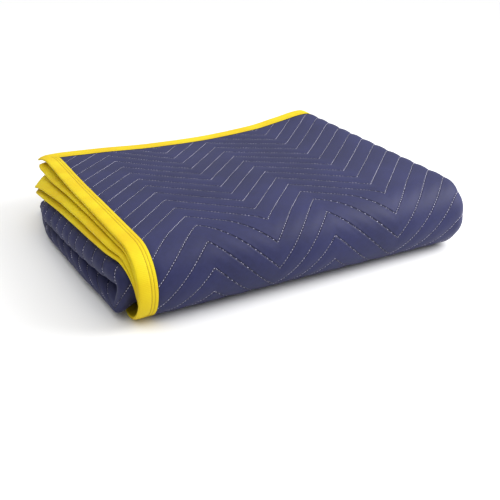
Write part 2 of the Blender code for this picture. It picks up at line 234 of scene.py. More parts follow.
def lookup(table, where, index):
    """Smooth reading of one column of a table, with no overshoot."""
    x = column(table, 0)
    y = column(table, index)
    gap = np.diff(x)
    rate = np.diff(y) / gap
    lean = np.zeros(len(x))
    same = rate[:-1] * rate[1:] > 0
    both = np.where(same, rate[:-1] + rate[1:], 1.0)
    lean[1:-1] = np.where(same, 2 * rate[:-1] * rate[1:] / both, 0.0)
    where = np.clip(np.asarray(where, dtype=float), x[0], x[-1])
    k = np.clip(np.searchsorted(x, where, side="right") - 1, 0, len(gap) - 1)
    u = (where - x[k]) / gap[k]
    start = y[k] * (1 + 2 * u) * (1 - u) ** 2 + lean[k] * gap[k] * u * (1 - u) ** 2
    end = y[k + 1] * u * u * (3 - 2 * u) - lean[k + 1] * gap[k] * u * u * (1 - u)
    return start + end


def ease(value):
    """Smooth step from 0 to 1."""
    u = np.clip(value, 0, 1)
    return u * u * (3 - 2 * u)


def half_fold(t, n):
    """First fold, across the width: the two halves lie on each other."""
    r = PITCH / 2
    angle = np.clip((t - FLAP) / r, 0, math.pi)
    back = np.maximum(t - FLAP - EDGE_TURN, 0)
    y1 = np.minimum(t, FLAP) + (r + n) * np.sin(angle) - back
    z1 = (r + n) * np.cos(angle)
    return y1, z1


def book_fold(s, z1):
    """Second fold, along the length: four passes between the ends."""
    wide = 1.5 * SLAB + z1
    loop = SLAB / 2 + z1
    tight = SLAB / 2 - z1
    turn_1 = np.clip((s - END_1) / (1.5 * SLAB), 0, math.pi)
    turn_2 = np.clip((s - END_3) / (SLAB / 2), 0, math.pi)
    turn_3 = np.clip((s - END_5) / (SLAB / 2), 0, math.pi)
    cases = [s <= END_1, s <= END_2, s <= END_3, s <= END_4, s <= END_5, s <= END_6]
    x = np.select(
        cases,
        [
            s,
            PASS + wide * np.sin(turn_1),
            PASS - (s - END_2),
            LOOP_X - loop * np.sin(turn_2),
            LOOP_X + (s - END_4),
            PASS + tight * np.sin(turn_3),
        ],
        PASS - (s - END_6),
    )
    z2 = np.select(
        cases,
        [
            wide,
            wide * np.cos(turn_1),
            -wide,
            -SLAB - loop * np.cos(turn_2),
            -tight,
            -tight * np.cos(turn_3),
        ],
        tight,
    )
    return x, z2


def by_layer(values, z2):
    """Pick each point's value by its layer, blending inside the gaps."""
    layer = (2 * SLAB - z2) / PITCH + 0.5
    total = values[0] + 0.0 * layer
    for k in range(1, 5):
        step = ease((layer - k - BLEND_START) / BLEND_SHARE)
        total = total + (values[k] - values[k - 1]) * step
    return 0.001 * total


def left_shift(x, y1, z2):
    """Slide each layer's left end in or out, fading along the pass."""
    values = [lookup(LEFT_END, y1, k) for k in range(1, 6)]
    fade = np.clip(1 - np.maximum(x, 0) / PASS, 0, 1) ** 2
    return x + by_layer(values, z2) * fade


def rear_shift(x, y1, z2):
    """Draw the inner layers' rear edges forward at the left end."""
    fade = np.clip(1 - x / REAR_FADE_X, 0, 1) ** 2
    fade = fade * np.clip(1 - y1 / REAR_FADE_Y, 0, 1)
    return y1 + by_layer(REAR_END, z2) * fade


def left_droop(x, y1, z2):
    """How far each layer's left end hangs down."""
    values = [lookup(LEFT_DROOP, y1, k) for k in range(1, 6)]
    tips = [0.0, 0.0, 0.0, 0.0, lookup(LEFT_DROOP, y1, 6)]
    droop = by_layer(values, z2) * ease((DROOP_END - x) / DROOP_FADE)
    return droop + by_layer(tips, z2) * ease((TIP_END - x) / TIP_FADE)


def corner_share(x, y1):
    """1 at the rear left corner of a layer, fading to 0 a little way in."""
    away = np.hypot(np.maximum(x, 0), np.maximum(y1, 0))
    return np.clip(1 - away / CORNER_REACH, 0, 1) ** 2


def front_fold(y1, z2):
    """Third fold, around the front: the stack doubles to sixteen layers."""
    reach = TURN + z2
    angle = np.clip((y1 - RUN) / TURN, 0, math.pi)
    back = np.maximum(y1 - FRONT_END, 0)
    y = WIDTH - np.minimum(y1, RUN) - reach * np.sin(angle) + back
    z = reach * np.cos(angle)
    return y, z + STACK / 2


def settle(x, y, z):
    """Open the gaps at the left end and let the top sag onto a flat sole."""
    rear = WIDTH - y
    fade = lookup(OPEN_FADE, x, 1)
    gaps = []
    for k, below in enumerate(OPEN_BELOW):
        gaps.append((0.001 * lookup(OPEN_GAPS, rear, k + 1) * fade, below))
    drop = 0.001 * lookup(SAG_ALONG, x, 1) * lookup(SAG_ACROSS, rear, 1)
    squash = (drop + sum(gap for gap, below in gaps)) / STACK
    out = (z - PITCH / 2 + SOLE) * (1 - squash)
    for gap, below in gaps:
        middle = STACK - below * PITCH
        out = out + gap * ease((z - middle) / OPEN_DEPTH + 0.5)
    return out


def folded(s, t, n):
    """Place points of the flat cloth in the folded blanket."""
    s = np.asarray(s, dtype=float)
    t = np.asarray(t, dtype=float)
    n = np.asarray(n, dtype=float)
    y1, z1 = half_fold(t, n)
    x, z2 = book_fold(s, z1)
    corner = corner_share(x, y1)
    droop = left_droop(x, y1, z2) + by_layer(CORNER_BEND, z2) * corner
    inward = by_layer(CORNER_ROUND, z2) * corner
    path = rear_shift(x, y1, z2) + inward
    x = left_shift(x, y1, z2) + inward
    y, z = front_fold(path, z2)
    z = settle(x, y, z) - droop
    return np.stack([x + MIDDLE[0], y + MIDDLE[1], z], axis=1)


# Quilting


def zigzag_table():
    """The bends of a stitch row along the whole cloth."""
    rows = list(ZIGZAG)
    up = False
    while rows[-1][0] < CLOTH_S:
        along, across = rows[-1]
        rows.append((along + LEG, across + (LEG if up else -LEG)))
        up = not up
    return rows


def row_height(s):
    """How far across the cloth a stitch row has moved at each place."""
    table = zigzag_table()
    return np.interp(s, column(table, 0), column(table, 1))


def sewn_place(s, t):
    """Place across the cloth as measured on the layer itself round the front."""
    arc = math.pi * TURN
    side = np.where(t > CLOTH_T / 2, -PITCH / 2, PITCH / 2)
    height = book_fold(s, side)[1]
    near_height = book_fold(s, PITCH / 2 + 0 * s)[1]
    near = np.clip(t - RUN, 0, arc) * near_height / TURN
    far = np.clip(t - (CLOTH_T - FRONT_END), 0, arc) * height / TURN
    return t + near + far


def row_number(s, t, row):
    """Stitch rows counted across the cloth, whole at each row."""
    return (sewn_place(s, t) + row_height(s)) / row


def edge_distance(s, t):
    """Distance from the nearest edge of the cloth."""
    near = np.minimum(s, t)
    return np.minimum(near, np.minimum(CLOTH_S - s, CLOTH_T - t))


def cloth_height(s, t, sizes, outer):
    """Half height of the cloth: puffed between rows, drawn in at each row."""
    phase = row_number(s, t, sizes.row)
    off = 2 * np.abs(phase - np.round(phase))
    puff = 1 - (1 - off) ** 2
    crest = sizes.crest
    if outer:
        below = (t > FRONT_END - SOLE_START) & (t < FLAP + 0.001)
        below &= s < END_1 + 0.001
        crest = np.where(below, SOLE, crest)
    quilt = sizes.groove + (crest - sizes.groove) * puff
    rise = ease((edge_distance(s, t) - TAPE_WIDE + 0.001) / PUFF_RISE)
    return HEM_HALF + (quilt - HEM_HALF) * rise


# Meshes


def spread(start, end, step):
    """Evenly spaced stations after the start, with the end."""
    count = max(1, int(math.ceil((end - start) / step - 0.001)))
    return [start + (end - start) * k / count for k in range(1, count + 1)]


# Mesh spacings: plain parts, the loops' turns, and near the ends
PLAIN_STEP = 0.014
TURN_STEP = 0.003
END_STEP = 0.0045
HEM_STEP = 0.006
NEAR_END = 0.064
LOOP_REACH = 0.065

# Mesh lines near the edge of the cloth, by distance from it
EDGE = (
    CLOTH_IN,
    0.0042,
    0.0075,
    0.0110,
    0.0150,
    0.0195,
    TAPE_WIDE - 0.0015,
    TAPE_WIDE + 0.0010,
    RAMP,
    RAMP + 0.003,
)


def across_lines(step):
    """Mesh lines across the cloth, close together where it bends."""
    half = list(EDGE) + spread(EDGE[-1], RUN, step)
    half += spread(RUN, FRONT_END, min(step, END_STEP))
    half += spread(FRONT_END, FLAP, step)
    other = [CLOTH_T - place for place in reversed(half)]
    return half + spread(FLAP, FLAP + EDGE_TURN, 0.0013)[:-1] + other


def along_lines(step, turn):
    """Mesh lines along the cloth, close together where it bends."""
    near = NEAR_END
    lines = list(EDGE) + spread(EDGE[-1], near, HEM_STEP) + spread(near, END_1, step)
    lines += spread(END_1, END_2, turn)
    lines += spread(END_2, END_3 - near, step)
    lines += spread(END_3 - near, END_3, END_STEP)
    lines += spread(END_3, END_4, 0.0016)
    lines += spread(END_4, END_4 + near, END_STEP)
    lines += spread(END_4 + near, END_5, step)
    lines += spread(END_5, END_6, 0.0022)
    lines += spread(END_6, CLOTH_S - near, step)
    lines += spread(CLOTH_S - near, CLOTH_S - EDGE[-1], HEM_STEP)
    lines += [CLOTH_S - place for place in reversed(EDGE[:-1])]
    return lines


def lattice(s_lines, t_lines):
    """All crossings of two sets of mesh lines."""
    s, t = np.meshgrid(s_lines, t_lines, indexing="ij")
    return np.stack([s.ravel(), t.ravel()], axis=1)


def outside(points, zone):
    """Points that a finer zone doesn't hold."""
    s_low, s_high, t_low, t_high = zone
    s = points[:, 0]
    t = points[:, 1]
    slack = 0.0012
    held = (s > s_low - slack) & (s < s_high + slack)
    held &= (t > t_low - slack) & (t < t_high + slack)
    return points[~held]


def triangulate(points):
    """Triangles over points of the flat cloth."""
    flat = [Vector((p[0], p[1])) for p in points]
    result = delaunay_2d_cdt(flat, [], [], 0, 0.00001)
    names = [ids[0] for ids in result[3]]
    return np.array([[names[v] for v in face] for face in result[2]])


def outer_points(sizes):
    """Points of the outer face: fine on the top and front, and at the loops."""
    points = lattice(along_lines(PLAIN_STEP, TURN_STEP), across_lines(PLAIN_STEP))
    top = (EDGE[-1], END_2, EDGE[-1], FRONT_END + 0.020)
    fine_s = spread(RAMP, END_1, sizes.mesh_step) + spread(END_1, END_2, TURN_STEP)
    fine_t = spread(RAMP, RUN, sizes.mesh_step)
    fine_t += spread(RUN, top[3], sizes.mesh_step)
    points = outside(points, top)
    parts = [lattice(fine_s, fine_t)]
    lines = along_lines(PLAIN_STEP, TURN_STEP)
    loop_s = [v for v in lines if END_3 - LOOP_REACH < v < END_4 + LOOP_REACH]
    for low, high in ((EDGE[-1], FLAP), (FLAP + EDGE_TURN, CLOTH_T - EDGE[-1])):
        zone = (loop_s[0], loop_s[-1], low, high)
        points = outside(points, zone)
        parts.append(lattice(loop_s, [low] + spread(low, high, 0.007)))
    return np.concatenate([points] + parts)


def border_ring(s_lines, t_lines):
    """Places round the outline of the cloth, in order."""
    ring = [(s, t_lines[0]) for s in s_lines[:-1]]
    ring += [(s_lines[-1], t) for t in t_lines[:-1]]
    ring += [(s, t_lines[-1]) for s in reversed(s_lines[1:])]
    ring += [(s_lines[0], t) for t in reversed(t_lines[1:])]
    return ring


def numbered(points):
    """Number of each point by its rounded place."""
    keys = np.round(points * 1e6).astype(np.int64)
    return {(int(a), int(b)): k for k, (a, b) in enumerate(keys)}


def at(table, place):
    """Number of the point at a place."""
    return table[int(round(place[0] * 1e6)), int(round(place[1] * 1e6))]


def solid_object(name, points, faces, uv, layers):
    """A smooth closed mesh at the origin, with its sheet coordinates."""
    mesh = bpy.data.meshes.new(name)
    mesh.from_pydata([tuple(p) for p in points], [], [tuple(f) for f in faces])
    mesh.update()
    loops = np.zeros(len(mesh.loops), dtype=np.int32)
    mesh.loops.foreach_get("vertex_index", loops)
    chart = mesh.uv_layers.new(name="sheet")
    chart.data.foreach_set("uv", np.asarray(uv)[loops].astype(np.float32).ravel())
    for label, values in layers.items():
        layer = mesh.attributes.new(label, "FLOAT", "POINT")
        layer.data.foreach_set("value", np.asarray(values, dtype=np.float32))
    mesh.polygons.foreach_set("use_smooth", [True] * len(mesh.polygons))
    body = bpy.data.objects.new(name, mesh)
    bpy.context.scene.collection.objects.link(body)
    return body


def panel_object(sizes):
    """The quilted cloth as one folded body."""
    top = outer_points(sizes)
    s_lines = along_lines(PLAIN_STEP, TURN_STEP)
    t_lines = across_lines(PLAIN_STEP)
    low = lattice(s_lines, t_lines)
    top_faces = triangulate(top)
    low_faces = triangulate(low)
    upper = folded(*top.T, cloth_height(*top.T, sizes, True))
    lower = folded(*low.T, -cloth_height(*low.T, sizes, False))
    first = len(upper)
    faces = [tuple(reversed(face)) for face in top_faces]
    faces += [tuple(v + first for v in face) for face in low_faces]
    top_at = numbered(top)
    low_at = numbered(low)
    ring = border_ring(s_lines, t_lines)
    for k, here in enumerate(ring):
        after = ring[(k + 1) % len(ring)]
        a = at(top_at, here)
        b = at(top_at, after)
        c = at(low_at, after) + first
        d = at(low_at, here) + first
        faces.append((a, b, c))
        faces.append((a, c, d))
    flat = np.concatenate([top, low])
    layers = {
        "row": row_number(*flat.T, sizes.row),
        "edge": edge_distance(*flat.T),
    }
    points = np.concatenate([upper, lower])
    return solid_object("quilted_panel", points, outward(points, faces), flat, layers)


def outward(points, faces):
    """Turn all faces round if the closed body is inside out."""
    tri = np.array(faces)
    a, b, c = points[tri[:, 0]], points[tri[:, 1]], points[tri[:, 2]]
    volume = np.einsum("ij,ij->i", a, np.cross(b, c)).sum()
    return tri if volume > 0 else tri[:, ::-1]


def tape_section():
    """Cross-section of the folded tape: edge distance and height."""
    wide = TAPE_WIDE * 1000
    rows = [seam * 1000 for seam in SEAMS]
    stations = [wide, wide - 0.3, wide - 1.2, wide - 2.6]
    for row in reversed(rows):
        stations += [row + 0.8, row, row - 0.8]
    stations += [13.0, 8.5, 4.5]
    top = []
    for e in stations:
        puff = 0.35 * math.sin(math.pi * min(1.0, e / rows[0])) if e < rows[0] else 0.14
        pull = sum(0.34 * math.exp(-(((e - row) / 0.55) ** 2)) for row in rows)
        top.append((e / 1000, (2.05 + puff - pull) / 1000))
    nose = 0.00215
    for k in range(1, 6):
        angle = math.pi / 2 - math.pi / 2 * k / 5
        top.append((nose - nose * math.cos(angle), nose * math.sin(angle)))
    low = [(e, -n) for e, n in reversed(top[:-1])]
    inside = [(TAPE_WIDE, 0.0017), (0.016, 0.0017), (0.006, 0.0017), (0.0014, 0.0010)]
    inside = [(e, -n) for e, n in inside] + [(e, n) for e, n in reversed(inside)]
    return top + low + inside


def with_corners(lines, e, far):
    """Stations between two mitred corners, closer together near each."""
    near = [e + (RAMP - e) * share for share in (0.0, 0.13, 0.28, 0.45, 0.62, 0.80)]
    return near + lines + [far - place for place in reversed(near[1:])]


def tape_ring(e, s_lines, t_lines):
    """Closed path at one edge distance around the cloth."""
    s_all = with_corners(s_lines, e, CLOTH_S)
    t_all = with_corners(t_lines, e, CLOTH_T)
    far_s = CLOTH_S - e
    far_t = CLOTH_T - e
    path = [(s, e) for s in s_all] + [(far_s, t) for t in t_all]
    path += [(far_s - s + e, far_t) for s in s_all]
    path += [(e, far_t - t + e) for t in t_all]
    return path


def binding_object():
    """The tape folded round the edge of the cloth, with mitred corners."""
    s_lines = [v for v in along_lines(0.010, 0.0025) if RAMP <= v <= CLOTH_S - RAMP]
    t_lines = [v for v in across_lines(0.010) if RAMP <= v <= CLOTH_T - RAMP]
    section = tape_section()
    middle = np.array(tape_ring(TAPE_WIDE / 2, s_lines, t_lines))
    step = np.linalg.norm(np.diff(middle, axis=0), axis=1)
    run = np.concatenate([[0.0], np.cumsum(step)])
    count = len(middle)
    rings = []
    flats = []
    for e, n in section:
        path = np.array(tape_ring(e, s_lines, t_lines))
        rings.append(folded(*path.T, np.full(count, n)))
        flats.append(np.stack([run, np.full(count, e)], axis=1))
    faces = []
    for k in range(len(section)):
        here = k * count
        after = (k + 1) % len(section) * count
        for i in range(count):
            j = (i + 1) % count
            faces.append((here + i, here + j, after + j))
            faces.append((here + i, after + j, after + i))
    flat = np.concatenate(flats)
    points = np.concatenate(rings)
    layers = {"edge": flat[:, 1]}
    return solid_object("edge_binding", points, outward(points, faces), flat, layers)


# Thread


def line_object(name, runs):
    """Open lines as loose edges, for the stitches to follow."""
    points = []
    edges = []
    for run in runs:
        first = len(points)
        points += [tuple(p) for p in run]
        edges += [(first + k, first + k + 1) for k in range(len(run) - 1)]
    mesh = bpy.data.meshes.new(name)
    mesh.from_pydata(points, edges, [])
    body = bpy.data.objects.new(name, mesh)
    bpy.context.scene.collection.objects.link(body)
    return body


def stitch_tree(name):
    """Geometry nodes that lay separate stitches along lines."""
    tree = bpy.data.node_groups.new(name, "GeometryNodeTree")
    face = tree.interface
    face.new_socket("Lines", in_out="INPUT", socket_type="NodeSocketGeometry")
    for label, value in (("Spacing", 0.0056), ("Length", 0.0044), ("Radius", 0.0003)):
        item = face.new_socket(label, in_out="INPUT", socket_type="NodeSocketFloat")
        item.subtype = "DISTANCE"
        item.default_value = value
    face.new_socket("Thread", in_out="INPUT", socket_type="NodeSocketMaterial")
    face.new_socket("Stitches", in_out="OUTPUT", socket_type="NodeSocketGeometry")
    nodes = tree.nodes
    link = tree.links.new
    given = nodes.new("NodeGroupInput")
    curve = nodes.new("GeometryNodeMeshToCurve")
    places = nodes.new("GeometryNodeCurveToPoints")
    places.mode = "LENGTH"
    bead = nodes.new("GeometryNodeMeshUVSphere")
    bead.inputs["Segments"].default_value = 5
    bead.inputs["Rings"].default_value = 4
    bead.inputs["Radius"].default_value = 1.0
    half = nodes.new("ShaderNodeMath")
    half.operation = "MULTIPLY"
    half.inputs[1].default_value = 0.5
    size = nodes.new("ShaderNodeCombineXYZ")
    lay = nodes.new("GeometryNodeInstanceOnPoints")
    real = nodes.new("GeometryNodeRealizeInstances")
    paint = nodes.new("GeometryNodeSetMaterial")
    result = nodes.new("NodeGroupOutput")
    link(given.outputs["Lines"], curve.inputs["Mesh"])
    link(curve.outputs["Curve"], places.inputs["Curve"])
    link(given.outputs["Spacing"], places.inputs["Length"])
    link(given.outputs["Length"], half.inputs[0])
    link(given.outputs["Radius"], size.inputs["X"])
    link(given.outputs["Radius"], size.inputs["Y"])
    link(half.outputs["Value"], size.inputs["Z"])
    link(places.outputs["Points"], lay.inputs["Points"])
    link(places.outputs["Rotation"], lay.inputs["Rotation"])
    link(bead.outputs["Mesh"], lay.inputs["Instance"])
    link(size.outputs["Vector"], lay.inputs["Scale"])
    link(lay.outputs["Instances"], real.inputs["Geometry"])
    link(real.outputs["Geometry"], paint.inputs["Geometry"])
    link(given.outputs["Thread"], paint.inputs["Material"])
    link(paint.outputs["Geometry"], result.inputs["Stitches"])
    return tree


def sew(name, runs, spacing, length, radius, material):
    """Stitches along lines, as one plain mesh."""
    body = line_object(name, runs)
    tree = stitch_tree(name + "_stitches")
    modifier = body.modifiers.new("stitches", "NODES")
    modifier.node_group = tree
    wanted = {
        "Spacing": spacing,
        "Length": length,
        "Radius": radius,
        "Thread": material,
    }
    for item in tree.interface.items_tree:
        if item.item_type == "SOCKET" and item.name in wanted:
            modifier[item.identifier] = wanted[item.name]
    graph = bpy.context.evaluated_depsgraph_get()
    mesh = bpy.data.meshes.new_from_object(body.evaluated_get(graph))
    body.modifiers.remove(modifier)
    body.data = mesh
    mesh.polygons.foreach_set("use_smooth", [True] * len(mesh.polygons))
    return body


def row_runs(sizes, zone, step=0.002):
    """Stitch rows on the outer face inside one part of the flat cloth."""
    s_low, s_high, t_low, t_high = zone
    table = zigzag_table()
    bends = [a for a, b in table if s_low < a < s_high]
    stops = [s_low] + bends + [s_high]
    s = [s_low]
    for a, b in zip(stops, stops[1:]):
        s += spread(a, b, step / 1.4)
    s = np.array(s)
    across = row_height(s)
    grid = np.linspace(t_low, t_high, 500)
    sewn = np.array([sewn_place(np.full(500, one), grid) for one in s])
    first = int(math.floor((sewn.min() + across.min()) / sizes.row))
    last = int(math.ceil((sewn.max() + across.max()) / sizes.row))
    runs = []
    for number in range(first, last + 1):
        wanted = number * sizes.row - across
        t = np.array([np.interp(w, line, grid) for w, line in zip(wanted, sewn)])
        held = (t > t_low + 1e-6) & (t < t_high - 1e-6)
        cuts = np.flatnonzero(np.diff(held.astype(int))) + 1
        for part in np.split(np.arange(len(s)), cuts):
            if len(part) > 3 and held[part[0]]:
                runs.append((s[part], t[part]))
    return runs


def placed_runs(runs, sizes, lift):
    """Lay flat runs on the folded cloth, a little above its face."""
    placed = []
    for s, t in runs:
        height = cloth_height(s, t, sizes, True) + lift
        placed.append(folded(s, t, height))
    return placed


# Shading


class Wire:
    """A shader socket that arithmetic can be written on."""

    def __init__(self, tree, socket):
        self.tree = tree
        self.socket = socket

    def node(self, kind, settings=None, inputs=None, output=0):
        """A new node with its settings and inputs, as its output's wire."""
        node = self.tree.nodes.new(kind)
        for key, value in (settings or {}).items():
            setattr(node, key, value)
        for key, value in (inputs or {}).items():
            put(self.tree, node.inputs[key], value)
        return Wire(self.tree, node.outputs[output])

    def maths(self, operation, *values):
        """A Math node on this wire and others."""
        given = {0: self}
        for k, value in enumerate(values):
            given[k + 1] = value
        return self.node("ShaderNodeMath", {"operation": operation}, given)

    def __add__(self, other):
        return self.maths("ADD", other)

    __radd__ = __add__

    def __mul__(self, other):
        return self.maths("MULTIPLY", other)

    __rmul__ = __mul__

    def __sub__(self, other):
        return self.maths("SUBTRACT", other)

    def __rsub__(self, other):
        return (self * -1.0) + other

    def band(self, low, high):
        """0 below the first limit and 1 above the second, smoothly."""
        given = {"Value": self, "From Min": low, "From Max": high}
        return self.node(
            "ShaderNodeMapRange", {"interpolation_type": "SMOOTHSTEP"}, given
        )

    def mix(self, first, second):
        """Blend two colours by this wire."""
        node = self.tree.nodes.new("ShaderNodeMix")
        node.data_type = "RGBA"
        put(self.tree, node.inputs[0], self)
        put(self.tree, node.inputs[6], first)
        put(self.tree, node.inputs[7], second)
        return Wire(self.tree, node.outputs[2])


def put(tree, socket, value):
    """Link a wire to a socket, or set the socket's own value."""
    if isinstance(value, Wire):
        tree.links.new(value.socket, socket)
    elif hasattr(value, "__len__") and len(value) == 3 and socket.type == "RGBA":
        socket.default_value = (*value, 1.0)
    else:
        socket.default_value = value


def start_material(name):
    """A new material, its main shader and a wire of object coordinates."""
    material = bpy.data.materials.new(name)
    material.use_nodes = True
    tree = material.node_tree
    shader = tree.nodes["Principled BSDF"]
    coordinates = tree.nodes.new("ShaderNodeTexCoord")
    return material, shader, Wire(tree, coordinates.outputs["Object"])


def noise(place, scale, detail=2.0, rough=0.5):
    """Grey noise of a scale, on a wire of coordinates."""
    given = {"Vector": place, "Scale": scale, "Detail": detail, "Roughness": rough}
    return place.node("ShaderNodeTexNoise", {}, given)


def sheet_wire(place, output):
    """One coordinate of the sheet map in millimetres."""
    chart = place.node("ShaderNodeUVMap", {"uv_map": "sheet"})
    parts = place.node("ShaderNodeSeparateXYZ", {}, {0: chart}, output)
    return parts * 1000.0


def attribute(place, name):
    """A number stored on the mesh."""
    return place.node("ShaderNodeAttribute", {"attribute_name": name}, {}, 2)


def wave(value, pitch):
    """Waves from 0 to 1 of a pitch along a value."""
    return (value * (2 * math.pi / pitch)).maths("SINE") * 0.5 + 0.5


def cloth_material(colours):
    """Dark blue brushed cloth, creased along its stitch rows, with painted shade in the
    creases and a painted shadow line beside the tape.
    """
    material, shader, place = start_material("navy_cloth_face")
    along = sheet_wire(place, 0)
    across = sheet_wire(place, 1)
    row = attribute(place, "row")
    off = (row - row.maths("ROUND")).maths("ABSOLUTE")
    away = off * (colours.row * 1000.0 * 0.72)
    # Masks along each stitch row, used for the bump and for painted shade in the
    # creases
    crease = 1.0 - away.band(0.0, 2.0)
    needle = 1.0 - away.band(0.2, 1.0)
    puckers = noise(place, 260.0, 2.0, 0.6) * (1.0 - away.band(0.5, 7.0))
    weave = wave(along, 0.9) * wave(across, 0.9)
    nap = noise(place, 900.0, 3.0, 0.7)
    cloud = noise(place, 14.0, 2.0, 0.5)
    slub = noise(place, 190.0, 3.0, 0.65)
    shade = cloud.band(0.3, 0.7) * 0.45 + slub.band(0.3, 0.7) * 0.35 + nap * 0.2
    base = shade.mix(colours.cloth_dark, colours.cloth_light)
    edge = attribute(place, "edge") * 1000.0
    # Painted shadow: a dark line on the cloth just outside the tape's inner rim
    tape_rim_shadow = 1.0 - edge.band(TAPE_WIDE * 1000.0 + 0.4, TAPE_WIDE * 1000.0 + 2.4)
    # Painted shade: the stitch-row creases and the line beside the tape are mixed
    # towards a darker blue
    dark = (needle * 0.55 + crease * 0.28).maths("MAXIMUM", tape_rim_shadow * 0.8)
    base = dark.mix(base, colours.crease_shade)
    put(place.tree, shader.inputs["Base Color"], base)
    put(place.tree, shader.inputs["Roughness"], 0.54 + 0.12 * slub)
    height = weave * 0.06 + nap * 0.10 + slub * 0.10 - crease * 1.7 - needle * 0.6
    height = height + puckers * 0.9
    bump = place.node(
        "ShaderNodeBump", {}, {"Strength": 0.55, "Distance": 0.001, "Height": height}
    )
    put(place.tree, shader.inputs["Normal"], bump)
    shader.inputs["Sheen Weight"].default_value = 0.03
    shader.inputs["Sheen Roughness"].default_value = 0.50
    shader.inputs["Sheen Tint"].default_value = (0.70, 0.72, 1.0, 1.0)
    shader.inputs["Specular IOR Level"].default_value = 0.30
    return material


def tape_material(colours):
    """Bright yellow ribbed tape with two sewn furrows near its inner edge, darkened
    there by painted shade.
    """
    material, shader, place = start_material("yellow_tape_face")
    along = sheet_wire(place, 0)
    edge = attribute(place, "edge") * 1000.0
    ribs = wave(along, 1.15)
    threads = wave(edge, 0.55)
    fuzz = noise(place, 700.0, 3.0, 0.6)
    cloud = noise(place, 22.0, 2.0, 0.5)
    furrows = 0.0
    for seam in SEAMS:
        furrow = (edge - 1000.0 * seam).maths("ABSOLUTE").band(0.1, 0.9)
        furrows = furrows + (1.0 - furrow)
    shade = ribs * 0.25 + fuzz * 0.3 + cloud.band(0.3, 0.7) * 0.45
    base = shade.mix(colours.tape_dark, colours.tape_light)
    # Painted shade in the two sewn furrows
    base = (furrows * 0.5).mix(base, colours.tape_furrow_shade)
    put(place.tree, shader.inputs["Base Color"], base)
    put(place.tree, shader.inputs["Roughness"], 0.55 + 0.15 * fuzz)
    height = ribs * 0.22 + threads * 0.05 + fuzz * 0.12 - furrows * 0.5
    bump = place.node(
        "ShaderNodeBump", {}, {"Strength": 0.5, "Distance": 0.0006, "Height": height}
    )
    put(place.tree, shader.inputs["Normal"], bump)
    shader.inputs["Specular IOR Level"].default_value = 0.22
    return material


def thread_material(name, colour, rough):
    """Twisted sewing thread."""
    material, shader, place = start_material(name)
    twist = noise(place, 1500.0, 1.0, 0.5)
    base = twist.mix(tuple(0.82 * c for c in colour), colour)
    put(place.tree, shader.inputs["Base Color"], base)
    shader.inputs["Roughness"].default_value = rough
    return material


def floor_material(colour):
    """Plain pale floor."""
    material, shader, place = start_material("pale_floor")
    mottle = noise(place, 3.0, 2.0, 0.5)
    base = mottle.mix(tuple(0.985 * c for c in colour), colour)
    put(place.tree, shader.inputs["Base Color"], base)
    shader.inputs["Roughness"].default_value = 0.9
    shader.inputs["Specular IOR Level"].default_value = 0.1
    return material


# Sizes and colours that a user would change


class BlanketSizes(bpy.types.PropertyGroup):
    """Sizes and colours of the blanket."""

    row: bpy.props.FloatProperty(
        name="Row spacing", description="Distance between stitch rows",
        default=0.0335, unit="LENGTH", precision=4,
    )
    crest: bpy.props.FloatProperty(
        name="Puff", description="Half thickness of the cloth between rows",
        default=0.0027, unit="LENGTH", precision=4,
    )
    groove: bpy.props.FloatProperty(
        name="Groove", description="Half thickness of the cloth at a row",
        default=0.0013, unit="LENGTH", precision=4,
    )
    mesh_step: bpy.props.FloatProperty(
        name="Mesh step", description="Mesh spacing on the top and front",
        default=0.0036, unit="LENGTH", precision=4,
    )
    cloth_dark: bpy.props.FloatVectorProperty(
        name="Cloth, dark", description="Darker blue of the cloth",
        default=(0.0105, 0.0120, 0.054), subtype="COLOR", size=3,
    )
    cloth_light: bpy.props.FloatVectorProperty(
        name="Cloth, light", description="Lighter blue of the cloth",
        default=(0.0190, 0.0215, 0.090), subtype="COLOR", size=3,
    )
    # Painted shade colour for the stitch-row creases and the line beside the tape
    crease_shade: bpy.props.FloatVectorProperty(
        name="Cloth, crease", description="Blue along the stitch rows",
        default=(0.006, 0.006, 0.020), subtype="COLOR", size=3,
    )
    tape_dark: bpy.props.FloatVectorProperty(
        name="Tape, dark", description="Deeper yellow of the tape",
        default=(0.66, 0.43, 0.0015), subtype="COLOR", size=3,
    )
    tape_light: bpy.props.FloatVectorProperty(
        name="Tape, light", description="Lighter yellow of the tape",
        default=(0.74, 0.615, 0.008), subtype="COLOR", size=3,
    )
    # Painted shade colour for the tape's sewn furrows
    tape_furrow_shade: bpy.props.FloatVectorProperty(
        name="Tape, seam", description="Yellow in the sewn furrows",
        default=(0.40, 0.21, 0.001), subtype="COLOR", size=3,
    )


class ThreadSizes(bpy.types.PropertyGroup):
    """Sizes and colours of the stitches."""

    spacing: bpy.props.FloatProperty(
        name="Stitch spacing", description="Distance from one stitch to the next",
        default=0.0041, unit="LENGTH", precision=4,
    )
    length: bpy.props.FloatProperty(
        name="Stitch length", description="Length of thread that shows",
        default=0.0027, unit="LENGTH", precision=4,
    )
    radius: bpy.props.FloatProperty(
        name="Thread radius", description="Half the thread's thickness",
        default=0.00034, unit="LENGTH", precision=5,
    )
    colour: bpy.props.FloatVectorProperty(
        name="Quilting thread", description="Colour of the quilting thread",
        default=(0.72, 0.70, 0.92), subtype="COLOR", size=3,
    )
    tape_colour: bpy.props.FloatVectorProperty(
        name="Binding thread", description="Colour of the binding's thread",
        default=(0.55, 0.38, 0.006), subtype="COLOR", size=3,
    )


class StageSizes(bpy.types.PropertyGroup):
    """Floor and light."""

    floor: bpy.props.FloatVectorProperty(
        name="Floor", description="Colour of the floor",
        default=(0.87, 0.87, 0.87), subtype="COLOR", size=3,
    )
    sky: bpy.props.FloatProperty(
        name="Light from above", description="Strength of the soft light overhead",
        default=1.78,
    )
    horizon: bpy.props.FloatProperty(
        name="Light all round", description="Strength of the even light",
        default=0.24,
    )
    key: bpy.props.FloatProperty(
        name="Side lamp", description="Power of the soft lamp at the right",
        default=18.0, subtype="POWER",
    )


# Pieces


